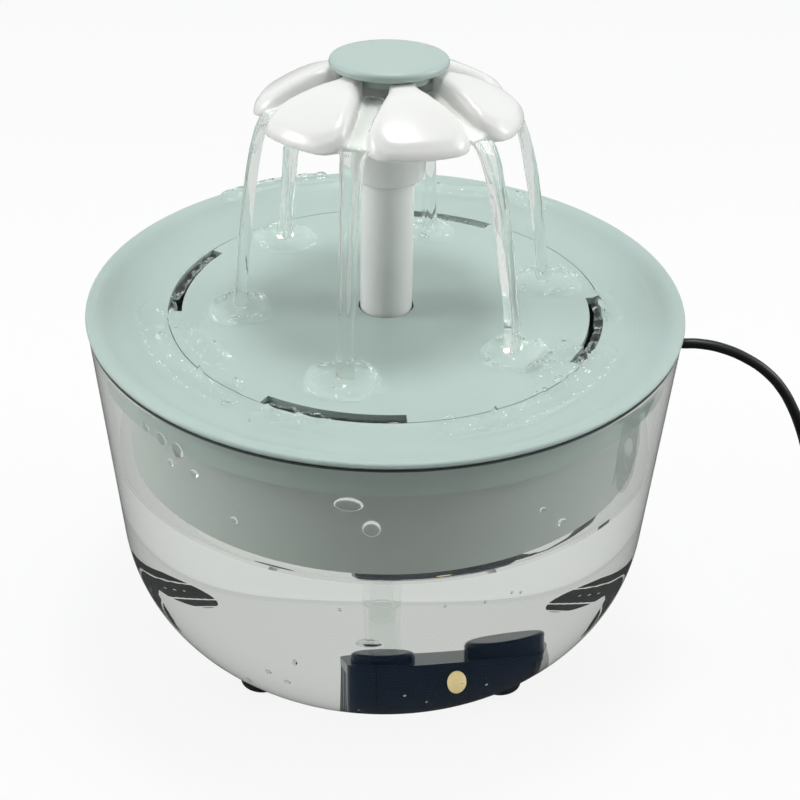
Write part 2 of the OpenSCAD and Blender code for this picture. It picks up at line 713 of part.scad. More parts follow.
module impeller() {
    x0 = joint_x + 1.7;
    x1 = chamber_x - 0.6;
    color("#e7e7e2") seated() difference() {
        union() {
            axle(2.3, x0, chamber_x + 0.8);
            axle(impeller_r, x1 - 1, x1);
            translate([x0 + 0.4, rotor_y, rotor_z]) rotate([0, 90, 0]) linear_extrude(x1 - x0 - 0.9)
                for (k = [0 : vanes - 1]) rotate(360 * k / vanes) vane();
        }
        axle(shaft_r + shaft_fit, x0 - 1, chamber_x + 2);
    }
}

module rotor_shaft() {
    color("#f4f1ea") seated() axle(shaft_r, joint_x + 0.4, well_x);
}

module shaft_bushes() {
    color("#31363a") seated() difference() {
        union() {
            axle(2, joint_x + 0.1, joint_x + 1.5);
            axle(2.1, well_x - bush_t, well_x);
        }
        axle(shaft_r, joint_x + 0.4, well_x + 1);
    }
}

module volute_plate() {
    eye = 4;
    t = 1.1;
    color(navy) seated() difference() {
        union() {
            difference() {
                axle(chamber_r + 0.7, joint_x + 0.1, joint_x + t);
                axle(eye, joint_x - 1, joint_x + t + 1);
            }
            axle(2.8, joint_x + 0.1, joint_x + t);
            for (a = [0, 120, 240]) translate([joint_x + 0.1, rotor_y, rotor_z]) rotate([a, 0, 0])
                translate([0, 2.3, -0.6]) cube([t - 0.1, eye - 1.8, 1.2]);
        }
        axle(2, joint_x - 1, joint_x + t + 1);
    }
}

module intake_cover() {
    far = pump_d + pump_w;
    color(navy) seated() difference() {
        intersection() {
            pump_form();
            translate([joint_x - 0.15 - far, -far / 2, -far / 2]) cube(far);
        }
        difference() {
            block(pump_x0 + pump_t, pump_x1, -pump_d + pump_t, -pump_t, pump_t, pump_h - pump_t,
                pump_edge_r - pump_t);
            translate([joint_x + 1, -pump_d, -1]) cube([pump_w, pump_d, pump_h + 2]);
        }
        // intake slots in the end
        for (i = [0 : 3]) translate([pump_x0 - 1, -pump_edge_r - 2 - 3 * i, pump_t + 1.5])
            cube([pump_t + 2, 1.6, pump_h - 2 * pump_t - 3]);
    }
}

// small rubber pads under the pump, cut to the tank's floor and curve
module pump_pads() {
    color("#262a2c") intersection() {
        seated() for (x = [pump_x0 + 12, pump_x1 - 9], y = [-4.5, -pump_d + 5])
            translate([x, y, -6]) cylinder(r = pad_r, h = 6);
        tank_inside();
    }
}

// clear hose from the outlet stub, round an elbow and up onto the sleeve's nipple
elbow_y = -pump_setback + stub_l * cos(pump_lean) + outlet_z * sin(pump_lean);
elbow_z = pump_rear_z - stub_l * sin(pump_lean) + outlet_z * cos(pump_lean);
elbow_r = -elbow_y / (1 + sin(pump_lean));
elbow_top = elbow_z + elbow_r * cos(pump_lean);
hose_sides = 20;
elbow_steps = 8;
function hose_pts(past) = let (
    c = [elbow_y + elbow_r * sin(pump_lean), elbow_top],
    back = [for (q = [stub_l - 0.8 + past : -2.5 : 2])
        [elbow_y - q * cos(pump_lean), elbow_z + q * sin(pump_lean)]],
    round = [for (i = [0 : elbow_steps]) let (a = (90 + pump_lean) * (i / elbow_steps - 1))
        c + elbow_r * [cos(a), sin(a)]],
    up = [[0, (elbow_top + hose_top) / 2], [0, hose_top + past]])
    [for (p = concat(back, round, up)) [-p[0] * sin(pump_turn), p[0] * cos(pump_turn), p[1]]];

module outlet_hose() {
    color("#e3e8e4", 0.4) difference() {
        swept_cord(hose_pts(0), hose_r, hose_sides);
        swept_cord(hose_pts(0.5), (stub_r + 0.02) / cos(180 / hose_sides), hose_sides);
    }
}

module cord_gland() {
    color("#15181b") seated() translate([pump_x1, gland_y, rotor_z]) rotate([0, 90, 0]) difference() {
        rotate_extrude() polygon([[0, 0], [3.8, 0], [3.8, 1.6], [3, 2.2], [2.3, gland_l], [0, gland_l]]);
        translate([0, 0, -1]) cylinder(r = cord_r + 0.05, h = gland_l + 2);
    }
}

// ---- cord ----
module pump_lead() {
    color("#15171a") swept_cord(lead_pts, cord_r);
}

module cord_lead() {
    color("#15171a") swept_cord(free_pts, cord_r);
}

module cord_coil() {
    color("#15171a") translate([coil_x, coil_y, 0]) ring(coil_in, coil_out, 0, coil_h);
}

module cord_tail() {
    color("#15171a") swept_cord(tail_pts, cord_r);
}

module coil_tie() {
    t = 0.8;
    w = 8;
    color("#1d2023") translate([coil_x, coil_y, 0]) rotate(135) translate([0, -w / 2, 0]) difference() {
        translate([coil_in - t, 0, 0]) cube([coil_out - coil_in + 2 * t, w, coil_h + t]);
        translate([coil_in, -1, -1]) cube([coil_out - coil_in, w + 2, coil_h + 1]);
        intersection() {
            translate([0, w / 2, -1]) ring(coil_in, coil_out, 0, coil_h + 1);
            translate([0, -1, -1]) cube([coil_out + 5, w + 2, coil_h + 1]);
        }
    }
}

module plug_grip() {
    color("#15171a") difference() {
        union() {
            translate([tail_x, grip_y, plug_z]) rotate([-90, 0, 0])
                cylinder(r1 = 2.3, r2 = 3.4, h = relief_l);
            block(tail_x - grip_w / 2, tail_x + grip_w / 2, grip_y + relief_l, grip_y + relief_l + grip_l,
                0, grip_h, 3);
        }
        translate([tail_x, grip_y - 1, plug_z]) rotate([-90, 0, 0]) cylinder(r = cord_r, h = 5.2);
    }
}

module plug_shell() {
    y0 = grip_y + relief_l + grip_l;
    color("#c9ccd0") translate([tail_x - shell_w / 2, y0, plug_z - shell_h / 2]) difference() {
        cube([shell_w, shell_l, shell_h]);
        translate([shell_t, -1, shell_t]) cube([shell_w - 2 * shell_t, shell_l + 2, shell_h - 2 * shell_t]);
        for (x = [shell_w / 2 - 3.5, shell_w / 2 + 1], z = [-1, shell_h - 1])
            translate([x, shell_l - 6.5, z]) cube([2.5, 2.5, 2]);
    }
}

module plug_tongue() {
    y0 = grip_y + relief_l + grip_l;
    color("#e8e8e8") translate([tail_x - shell_w / 2 + shell_t, y0, plug_z - shell_h / 2 + shell_t])
        cube([shell_w - 2 * shell_t, shell_l - 0.6, 1.9]);
}

tank();
tank_feet();
drinking_tray();
filter_basin();
centre_plate();
filter_foam();
filter_pouch();
filter_carbon();
riser_tube();
riser_sleeve();
flower_head();
flower_cap();
pump_housing();
pump_end_seal();
stator_core();
stator_coil();
driver_board();
led_lens();
rotor_magnet();
impeller();
rotor_shaft();
shaft_bushes();
volute_plate();
intake_cover();
pump_pads();
outlet_hose();
cord_gland();
pump_lead();
cord_lead();
cord_coil();
cord_tail();
coil_tie();
plug_grip();
plug_shell();
plug_tongue();
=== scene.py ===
"""Pet water fountain: finishes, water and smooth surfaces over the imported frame. Metres, +Z up."""
import json
import math
import random

import bpy
import bmesh
from mathutils import Matrix, Vector


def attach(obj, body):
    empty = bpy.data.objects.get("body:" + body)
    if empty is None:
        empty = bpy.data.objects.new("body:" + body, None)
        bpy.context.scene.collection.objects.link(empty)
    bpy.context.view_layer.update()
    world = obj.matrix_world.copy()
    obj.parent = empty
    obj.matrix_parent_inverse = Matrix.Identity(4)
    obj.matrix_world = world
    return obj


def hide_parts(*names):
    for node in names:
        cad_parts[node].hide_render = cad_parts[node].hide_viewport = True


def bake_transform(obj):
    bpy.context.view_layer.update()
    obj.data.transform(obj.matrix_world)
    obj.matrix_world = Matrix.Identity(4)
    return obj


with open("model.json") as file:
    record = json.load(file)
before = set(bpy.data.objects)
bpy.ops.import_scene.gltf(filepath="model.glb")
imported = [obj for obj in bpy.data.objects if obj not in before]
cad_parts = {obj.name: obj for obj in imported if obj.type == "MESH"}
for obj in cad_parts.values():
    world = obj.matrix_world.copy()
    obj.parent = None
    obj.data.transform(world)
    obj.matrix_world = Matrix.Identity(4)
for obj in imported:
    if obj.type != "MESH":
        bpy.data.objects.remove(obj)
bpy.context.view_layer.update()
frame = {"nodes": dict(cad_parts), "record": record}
MM = 0.001
cad = frame["nodes"]


# ---- camera: in front, a little above the fountain, looking down at it; angles in radians ----
CAMERA_AT = (0.0, -0.426198, 0.355611)
PITCH, YAW, ROLL = 0.5677436, 0.0113086, 0.0195867
LENS, SENSOR = 72.0, 36.0


def set_camera():
    """Places the camera. Yaw and pitch give its direction, and roll turns it about that."""
    ahead = Vector((math.sin(YAW) * math.cos(PITCH), math.cos(YAW) * math.cos(PITCH), -math.sin(PITCH)))
    right = Vector((math.cos(YAW), -math.sin(YAW), 0.0))
    up = right.cross(ahead)
    c, s = math.cos(ROLL), math.sin(ROLL)
    right, up = c * right + s * up, c * up - s * right
    data = bpy.data.cameras.new("camera")
    data.lens = LENS
    data.sensor_width = SENSOR
    data.clip_start = 0.02
    camera = bpy.data.objects.new("camera", data)
    camera.matrix_world = Matrix.Translation(CAMERA_AT) @ Matrix((
        (right.x, up.x, -ahead.x), (right.y, up.y, -ahead.y), (right.z, up.z, -ahead.z))).to_4x4()
    bpy.context.scene.collection.objects.link(camera)
    bpy.context.scene.camera = camera


set_camera()


# ---- small tools ----
def deselect():
    """Leaves edit mode and selects nothing."""
    if bpy.context.mode != "OBJECT":
        bpy.ops.object.mode_set(mode="OBJECT")
    bpy.ops.object.select_all(action="DESELECT")


def take(piece):
    """Selects one object alone and makes it the active one."""
    deselect()
    piece.select_set(True)
    bpy.context.view_layer.objects.active = piece


def named(name):
    """Names the object that was just made, and its mesh."""
    piece = bpy.context.view_layer.objects.active
    piece.name = name
    piece.data.name = name
    return piece


def settle(piece):
    """Moves the object's place into its mesh, so that the object sits at the origin."""
    take(piece)
    bpy.ops.object.transform_apply(location=True, rotation=True, scale=True)


def smooth(piece, angle=35.0):
    """Smooth shading, with a crease where two faces meet at more than the angle in degrees."""
    take(piece)
    bpy.ops.object.shade_smooth_by_angle(angle=math.radians(angle))


def apply_all(piece):
    """Applies all of a piece's modifiers, in order."""
    take(piece)
    for modifier in list(piece.modifiers):
        bpy.ops.object.modifier_apply(modifier=modifier.name)


def smooth_cord(name, points, radius):
    """A round cord on one smooth line through the points, given in millimetres. The knots' own radius sets
    its thickness, because a knot's radius counts in the curve's box."""
    line = bpy.data.curves.new(name, "CURVE")
    line.dimensions = "3D"
    line.resolution_u = 6
    line.bevel_depth = 1.0
    line.bevel_resolution = 5
    line.use_fill_caps = True
    spline = line.splines.new("BEZIER")
    spline.bezier_points.add(len(points) - 1)
    for knot, p in zip(spline.bezier_points, points):
        knot.co = Vector(p) * MM
        knot.radius = radius * MM
        knot.handle_left_type = knot.handle_right_type = "AUTO"
    cord = bpy.data.objects.new(name, line)
    bpy.context.scene.collection.objects.link(cord)
    return cord


# ---- the supply cord: from the rim, down to the table, into the stored coil and out to the plug ----
CORD_R = 1.55
# in metres, from the rim to the plug
EXIT = (88.4, -17.2, 116.0)
# the coil's middle, the radius of its outer lane, its whole turns and its first azimuth in degrees
COIL_X, COIL_Y, COIL_R, COIL_TURNS, COIL_START = 181.0, 7.8, 20.1, 11, -92.8
# the lanes in a layer, and the degrees that a turn takes to move to the next lane
LANES, SHIFT = 3, 40
free_route = [EXIT, (92.6, -18.1, 116.5), (99.6, -19.6, 115.9), (107.4, -21.4, 113.2),
    (113.4, -22.8, 109.4), (118, -23.8, 104.6), (121.6, -24.6, 99), (124.8, -25.2, 92.4),
    (127.8, -25.7, 84.6), (130.8, -26, 76), (133.8, -26.1, 67), (137, -25.9, 57.6), (140.4, -25.5, 48),
    (144.2, -24.7, 38.4), (148.6, -23.5, 29), (153.8, -21.8, 20), (160, -19.4, 11.6), (167, -16.4, 5.2),
    (174.6, -13.6, 2)]
tail_route = [(201.1, 13.8, 10.6), (201.1, 19.8, 9), (201.1, 25.3, 6.6), (201.1, 29.8, 4.7),
    (201.1, 33.3, 4), (201.1, 37.8, 4)]


def coil_route(steps=24):
    """The stored coil, in layers of lanes side by side. Each turn ends by moving to the next lane."""
    turns = COIL_TURNS - COIL_START / 360
    pitch = 2 * CORD_R

    def seat(turn):
        layer, lane = divmod(min(turn, COIL_TURNS), LANES)
        return COIL_R - pitch * (lane if layer % 2 == 0 else LANES - 1 - lane), CORD_R + pitch * layer

    route = []
    count = round(turns * steps)
    for i in range(count + 1):
        t = turns * i / count
        turn = int(t + 1e-9)
        part = max(0.0, (t - turn) * 360 - (360 - SHIFT)) / SHIFT
        ease = part * part * (3 - 2 * part)
        (r0, z0), (r1, z1) = seat(turn), seat(turn + 1)
        r, z = r0 + (r1 - r0) * ease, z0 + (z1 - z0) * ease
        a = math.radians(COIL_START + 360 * t)
        route.append((COIL_X + r * math.cos(a), COIL_Y + r * math.sin(a), z))
    return route


supply_cord = smooth_cord("supply_cord", free_route + coil_route() + tail_route, CORD_R)
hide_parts("cord_lead", "cord_coil", "cord_tail")
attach(supply_cord, "tank")


# ---- materials ----
def colour(code):
    """sRGB hex to a linear colour."""
    parts = [int(code[i:i + 2], 16) / 255 for i in (1, 3, 5)]
    return tuple(v / 12.92 if v <= 0.04045 else ((v + 0.055) / 1.055) ** 2.4 for v in parts) + (1.0,)


def add(tree, kind, inputs=None, **settings):
    """Adds a node with its settings. An input takes a value, or the socket that feeds it."""
    made = tree.nodes.new(kind)
    for key, value in settings.items():
        setattr(made, key, value)
    for key, value in (inputs or {}).items():
        if isinstance(value, bpy.types.NodeSocket):
            tree.links.new(value, made.inputs[key])
        else:
            made.inputs[key].default_value = value
    return made


def finish_of(name, **constants):
    """A new Principled material and its shader, with the given constant sockets."""
    made = bpy.data.materials.new(name)
    made.use_nodes = True
    shader = made.node_tree.nodes["Principled BSDF"]
    for key, value in constants.items():
        shader.inputs[key.replace("_", " ")].default_value = value
    return made, made.node_tree, shader


# a ray sent on more often than this between clear faces counts as lost
DEEPEST = 9


def lit_through(made, share=0.9, mirrored=2, tone="#CDCFCC"):
    """Lets a share of the lamps' light through each face of a clear material, instead of casting the
    shadow of a solid one. A ray that has been sent on or mirrored too often between clear faces ends in a
    painted glow in the tone of what lies round them."""
    tree = made.node_tree
    output = tree.nodes["Material Output"]
    shader = tree.nodes["Principled BSDF"]
    path = add(tree, "ShaderNodeLightPath")
    let_on = add(tree, "ShaderNodeBsdfTransparent", {"Color": (share, share, share, 1.0)})
    mix = add(tree, "ShaderNodeMixShader", {0: path.outputs["Is Shadow Ray"], 1: shader.outputs[0],
        2: let_on.outputs[0]})
    lost = add(tree, "ShaderNodeMath", {0: path.outputs["Ray Depth"], 1: DEEPEST},
        operation="GREATER_THAN")
    inside = add(tree, "ShaderNodeMath", {0: path.outputs["Glossy Depth"], 1: mirrored - 0.5},
        operation="GREATER_THAN")
    lost = add(tree, "ShaderNodeMath", {0: lost.outputs[0], 1: inside.outputs[0]}, operation="MAXIMUM")
    # painted glow: stands in for the light that a lost ray would have found
    painted_glow = add(tree, "ShaderNodeEmission", {"Color": colour(tone), "Strength": 1.0})
    mix = add(tree, "ShaderNodeMixShader", {0: lost.outputs[0], 1: mix.outputs[0], 2: painted_glow.outputs[0]})
    tree.links.new(mix.outputs[0], output.inputs["Surface"])


def rippled(made, size, depth):
    """Small waves on moving water, by their length and height in millimetres."""
    tree = made.node_tree
    place = add(tree, "ShaderNodeTexCoord")
    waves = add(tree, "ShaderNodeTexNoise", {"Vector": place.outputs["Object"], "Scale": 1000.0 / size,
        "Detail": 1.0})
    bump = add(tree, "ShaderNodeBump", {"Strength": 1.0, "Distance": depth * MM,
        "Height": waves.outputs["Fac"]})
    tree.links.new(bump.outputs[0], tree.nodes["Principled BSDF"].inputs["Normal"])


def moulded(name, low, high, roughness, grain=0.5, depth=0.02, **constants):
    """An opaque finish: a hair of colour drift over about 36 mm, and a fine grain as bump, by its width
    and height in millimetres."""
    made, tree, shader = finish_of(name, Roughness=roughness, **constants)
    place = add(tree, "ShaderNodeTexCoord")
    drift = add(tree, "ShaderNodeTexNoise", {"Vector": place.outputs["Object"], "Scale": 28.0,
        "Detail": 2.0})
    tone = add(tree, "ShaderNodeMix", {0: drift.outputs["Fac"], 6: colour(low), 7: colour(high)},
        data_type="RGBA")
    tree.links.new(tone.outputs[2], shader.inputs["Base Color"])
    spark = add(tree, "ShaderNodeTexNoise", {"Vector": place.outputs["Object"], "Scale": 1000.0 / grain,
        "Detail": 2.0})
    bump = add(tree, "ShaderNodeBump", {"Strength": 0.25, "Distance": depth * MM,
        "Height": spark.outputs["Fac"]})
    tree.links.new(bump.outputs[0], shader.inputs["Normal"])
    return made


def clear(name, ior, tint, through=1.0, **lost):
    """A polished clear finish, by its index of refraction, its tint and how much light goes through it."""
    made, _, shader = finish_of(name, Roughness=0.0, IOR=ior, Transmission_Weight=through)
    shader.inputs["Base Color"].default_value = colour(tint)
    lit_through(made, **lost)
    return made


def unseen(name):
    """A face that bends nothing, where another clear face lies against it and already does."""
    made = bpy.data.materials.new(name)
    made.use_nodes = True
    tree = made.node_tree
    side = add(tree, "ShaderNodeBsdfTransparent", {"Color": (1.0, 1.0, 1.0, 1.0)})
    tree.links.new(side.outputs[0], tree.nodes["Material Output"].inputs["Surface"])
    return made


SAN_IOR, WATER_IOR, SILICONE_IOR = 1.5, 1.333, 1.41

# clear styrene-acrylonitrile, polished: sharp highlights, the wall shows only at its edges and curve
san_clear = clear("clear_san", SAN_IOR, "#FAFBFA")

# the same wall where water lies against it: hardly a boundary to the eye, and a painted pale glow where
# the base mirrors
san_wetted = clear("wetted_san", SAN_IOR / WATER_IOR, "#FAFBFA", mirrored=1)

# the matt top edge of the tank, which the tray sits on: the tray's shadow painted into its colour, a dark
# line under the tray's lip
rim_painted_shade, _, shade = finish_of("rim_edge_painted_shade", Roughness=0.7)
shade.inputs["Base Color"].default_value = colour("#46504C")

# tap water, at rest in the tank: clear and next to colourless, with a mirroring surface
water = clear("tap_water", WATER_IOR, "#F9FAF9")

# the water's side against the wall
water_side = unseen("water_against_wall")

# running water: the same, with small waves that catch the lamps
running = clear("running_water", WATER_IOR, "#FAFDFB", through=0.96)
rippled(running, 6.0, 0.2)

# water that lands and froths a little: a pale ring with bright edges, and rays lost inside it end in a
# painted glow of sage tone
frothed = clear("frothed_water", WATER_IOR, "#F6FAF8", through=0.91, share=0.76, mirrored=3,
    tone="#B9C6C0")
rippled(frothed, 4.0, 0.3)

# a thin sheet of water on tray and plate: their own colour shows through, under small bright glints, and
# rays lost inside it end in a painted glow in the plate's colour
thin_water = clear("thin_water", WATER_IOR, "#FBFCFB", share=0.66, mirrored=3, tone="#9FB0A9")
rippled(thin_water, 4.0, 0.22)

# a bubble of air under water bends light the other way: a bright bead with a dark edge
air_bubble = clear("air_bubble", 1 / WATER_IOR, "#E7E7E7")

# clear silicone under water, which bends light hardly more than the water round it: only its ends show
silicone = clear("clear_silicone", SILICONE_IOR / WATER_IOR, "#F8FAF9")

# sage ABS: soft satin with a weak gloss on top, greyer than mint
sage_abs = moulded("sage_abs", "#A9BAB4", "#AFC0BA", 0.42, grain=0.6, depth=0.008, Coat_Weight=0.15,
    Coat_Roughness=0.1)
# white ABS of riser, flower, impeller and plug tongue: warm white with a broad, clean highlight
white_abs = moulded("white_abs", "#E2E2DE", "#E8E8E5", 0.24, grain=0.7, depth=0.006)
# the basin's ABS: greyer than the tray's, and without its gloss
grey_abs = moulded("basin_abs", "#AEB8B2", "#B5BEB9", 0.4, depth=0.01)
# the pump's navy ABS, under water: deep blue, with hardly any reflection
navy_abs = moulded("navy_abs", "#0A1A2C", "#0E2236", 0.12, grain=0.5, depth=0.004, IOR=1.18)
# feet, pads, bushes, gland and the coil's tie: dull black rubber
rubber = moulded("moulded_rubber", "#1B1D1E", "#262829", 0.62, grain=0.4, depth=0.03)
# the cord's jacket and the plug's grip: black PVC with a silky line of light
cord_pvc = moulded("cord_pvc", "#121315", "#1B1C1F", 0.42, grain=0.5)
# magnet: dark grey, sintered, dull
ferrite = moulded("sintered_ferrite", "#2B2B2D", "#343436", 0.5, grain=0.3)
# potting over the motor: black and glossy, a little uneven
resin = moulded("potting_resin", "#101317", "#171B20", 0.18, grain=2.0, depth=0.02)
# circuit board: green solder mask
board_fr4 = moulded("solder_masked_board", "#1F5A38", "#276845", 0.35, grain=0.8)
# the rotor's shaft: ground off-white ceramic
ceramic = moulded("ground_ceramic", "#E9E6DC", "#F0EDE4", 0.2, grain=0.4)
# pre-filter: dark foam with open cells, quite dull
foam = moulded("open_cell_foam", "#2A2E30", "#454B4E", 0.95, grain=0.8, depth=0.5)
# the filter's pouch: white, fibrous and dull
filter_cloth = moulded("non_woven_cloth", "#DFE1DC", "#ECEEE9", 0.9, grain=0.9, depth=0.15)
# its filling: black grains with small glints
carbon = moulded("carbon_granules", "#151617", "#2C2E2F", 0.55, grain=1.4, depth=0.8)
# the motor's winding: warm copper under clear enamel
copper = moulded("enamelled_copper", "#8A4A24", "#A65E30", 0.3, grain=0.5, Metallic=1.0)
# its core: grey sheet steel
laminations = moulded("electrical_steel", "#7D8082", "#8B8E90", 0.42, grain=0.5, Metallic=1.0)
# the plug's shell: bright nickelled steel
steel = moulded("nickelled_steel", "#C4C6C9", "#CFD1D4", 0.26, grain=0.6, depth=0.004, Metallic=1.0)
# the pump's light behind its frosted lens: a weak, warm glow
led_glow = moulded("frosted_lens", "#CBBB86", "#E2D3A2", 0.35, grain=0.6, Emission_Strength=0.35)
led_glow.node_tree.nodes["Principled BSDF"].inputs["Emission Color"].default_value = colour("#E9CF8C")

by_slot = {"clear_plastic": san_clear, "black_rubber": rubber, "sage_plastic": sage_abs,
    "grey_green_plastic": grey_abs, "white_plastic": white_abs, "navy_plastic": navy_abs,
    "cord_jacket": cord_pvc, "plug_steel": steel, "clear_silicone": silicone, "ferrite": ferrite,
    "potting_resin": resin, "circuit_board": board_fr4, "ceramic": ceramic, "dark_foam": foam,
    "filter_cloth": filter_cloth, "carbon_granules": carbon, "copper_wire": copper,
    "steel_laminations": laminations, "led_lens": led_glow}
for row in frame["record"]["subparts"]:
    made = by_slot.get(row["material_slot"])
    if made:
        mesh = cad[row["node"]].data
        mesh.materials.clear()
        mesh.materials.append(made)
supply_cord.data.materials.append(cord_pvc)


# ---- smooth turned surfaces ----
def arc(cx, cz, r, a0, a1, n=12):
    """Points on an arc about (cx, cz), from angle a0 to a1 in degrees."""
    return [(cx + r * math.cos(math.radians(a0 + (a1 - a0) * i / n)),
        cz + r * math.sin(math.radians(a0 + (a1 - a0) * i / n))) for i in range(n + 1)]


def curve(a, b, c, d, n=10):
    """Points on a Bezier curve from a to d, drawn by b and c."""
    out = []
    for i in range(n + 1):
        t = i / n
        s = 1 - t
        out.append(tuple(s ** 3 * a[k] + 3 * s * s * t * b[k] + 3 * s * t * t * c[k] + t ** 3 * d[k]
            for k in (0, 1)))
    return out


def traced(name, outline, closed=True):
    """An outline in the XZ plane, drawn point by point with extrude; radii and heights in millimetres."""
    points = [outline[0]]
    for p in outline[1:]:
        if math.dist(p, points[-1]) > 1e-3:
            points.append(p)
    if closed and math.dist(points[0], points[-1]) < 1e-3:
        points.pop()
    deselect()
    bpy.ops.mesh.primitive_plane_add(size=MM, location=(points[0][0] * MM, 0, points[0][1] * MM))
    piece = named(name)
    settle(piece)
    bpy.ops.object.mode_set(mode="EDIT")
    bpy.ops.mesh.select_all(action="SELECT")
    bpy.ops.mesh.merge(type="CENTER")
    bpy.ops.mesh.select_mode(type="VERT")
    for (x0, z0), (x1, z1) in zip(points, points[1:]):
        bpy.ops.mesh.extrude_region_move(
            TRANSFORM_OT_translate={"value": ((x1 - x0) * MM, 0, (z1 - z0) * MM)})
    if closed:
        shape = bmesh.from_edit_mesh(piece.data)
        ends = [v for v in shape.verts if len(v.link_edges) == 1]
        for v in shape.verts:
            v.select = v in ends
        shape.select_flush_mode()
        bmesh.update_edit_mesh(piece.data)
        bpy.ops.mesh.edge_face_add()
    return piece


def turned(name, outline, steps=160, closed=True, angle=35.0):
    """A traced outline spun about the riser's axis. An open one starts and ends on the axis."""
    piece = traced(name, outline, closed)
    bpy.ops.mesh.select_all(action="SELECT")
    bpy.ops.mesh.spin(steps=steps, angle=2 * math.pi, center=(0, 0, 0), axis=(0, 0, 1))
    bpy.ops.mesh.select_all(action="SELECT")
    bpy.ops.mesh.remove_doubles(threshold=2e-6)
    bpy.ops.mesh.normals_make_consistent(inside=False)
    bpy.ops.object.mode_set(mode="OBJECT")
    smooth(piece, angle)
    return piece


# tank: the clear wall, its curve into the base, and the floor, in the sizes of its solid
RIM_Z, GAP, TANK_R, TAPER, CURVE_R, WALL = 119.0, 1.5, 89.6, math.radians(4.34), 48.6, 2.2
CURVE_Z = GAP + CURVE_R
CURVE_X = TANK_R - (CURVE_R + (RIM_Z - CURVE_Z) * math.sin(TAPER)) / math.cos(TAPER)
RIM_IN = TANK_R - WALL / math.cos(TAPER)
WATER_Z = 78.5
WALL_STEPS, CURVE_STEPS = 180, 40
TAPER_DEG = math.degrees(TAPER)
# heights of the rings of points on the straight part, close together at both ends
WALL_RINGS = (47.2, 50, 56, 64, 72, WATER_Z, 86, 95, 104, 111, 115.5, 117.6)
# the notch for the cord: azimuth, radius of its round bottom, height of that round's centre, and the
# distance from the axis and the depth of the cut
NOTCH_AZ, NOTCH_R, NOTCH_Z, NOTCH_AT, NOTCH_DEEP = math.radians(-11), CORD_R + 0.25, EXIT[2] - 0.3, 88, 12


def wall_r(z, inset=0.0):
    """Radius of the wall's outer face, or of a face set in from it, on the straight part."""
    return TANK_R - (RIM_Z - z) * math.tan(TAPER) - inset / math.cos(TAPER)


def cut_with(piece, cutter):
    """Takes a cutter's shape out of a piece and deletes the cutter."""
    take(piece)
    bpy.ops.object.modifier_add(type="BOOLEAN")
    made = piece.modifiers[-1]
    made.object = cutter
    made.operation = "DIFFERENCE"
    made.solver = "EXACT"
    bpy.ops.object.modifier_apply(modifier=made.name)
    bpy.data.objects.remove(cutter)


def up_the_wall(inset):
    """Points on the straight part, so that its shading stays straight."""
    return [(wall_r(z, inset), z) for z in WALL_RINGS]


def notch_for_cord(piece):
    """Cuts the notch in the rim that the cord lies in: a round bottom, open at its top."""
    spot = (NOTCH_AT * math.cos(NOTCH_AZ) * MM, NOTCH_AT * math.sin(NOTCH_AZ) * MM)
    slot_high = 10
    deselect()
    bpy.ops.mesh.primitive_cylinder_add(vertices=32, radius=NOTCH_R * MM, depth=NOTCH_DEEP * MM,
        location=spot + (NOTCH_Z * MM,), rotation=(0, math.pi / 2, NOTCH_AZ))
    cut_with(piece, named("notch_round"))
    deselect()
    bpy.ops.mesh.primitive_cube_add(size=1, location=spot + ((NOTCH_Z + slot_high / 2) * MM,),
        rotation=(0, 0, NOTCH_AZ), scale=(NOTCH_DEEP * MM, 2 * NOTCH_R * MM, slot_high * MM))
    cut_with(piece, named("notch_slot"))


def tank_of_san():
    """The tank: outer face, rounded rim and inner face in one turned outline, with notch and finishes."""
    outer_edge, inner_edge, painted_shade_from = 0.3, 0.8, RIM_Z - 0.25
    piece = turned("tank_wall", [(0, GAP)] + arc(CURVE_X, CURVE_Z, CURVE_R, -90, -TAPER_DEG, CURVE_STEPS)
        + up_the_wall(0) + arc(TANK_R - outer_edge, RIM_Z - outer_edge, outer_edge, 0, 90, 4)
        + arc(RIM_IN + inner_edge, RIM_Z - inner_edge, inner_edge, 90, 180, 5)
        + up_the_wall(WALL)[::-1] + arc(CURVE_X, CURVE_Z, CURVE_R - WALL, -TAPER_DEG, -90, CURVE_STEPS)
        + [(0, GAP + WALL)], steps=WALL_STEPS, closed=False)
    notch_for_cord(piece)
    # the top edge takes the painted shade of the tray's lip, and the inner face below the waterline takes
    # the wetted finish
    piece.data.materials.clear()
    piece.data.materials.append(san_clear)
    piece.data.materials.append(san_wetted)
    piece.data.materials.append(rim_painted_shade)
    for face in piece.data.polygons:
        c = face.center / MM
        r = math.hypot(c.x, c.y)
        if c.z > CURVE_Z:
            inside = r < wall_r(c.z, WALL / 2)
        elif r > CURVE_X:
            inside = math.hypot(r - CURVE_X, c.z - CURVE_Z) < CURVE_R - WALL / 2
        else:
            inside = c.z > GAP + WALL / 2
        # faces of the top edge: painted shade of the tray's lip
        if c.z > painted_shade_from:
            face.material_index = 2
        else:
            face.material_index = 1 if inside and c.z < WATER_Z else 0
    smooth(piece)
    return piece


tank_wall = tank_of_san()
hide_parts("tank")
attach(tank_wall, "tank")


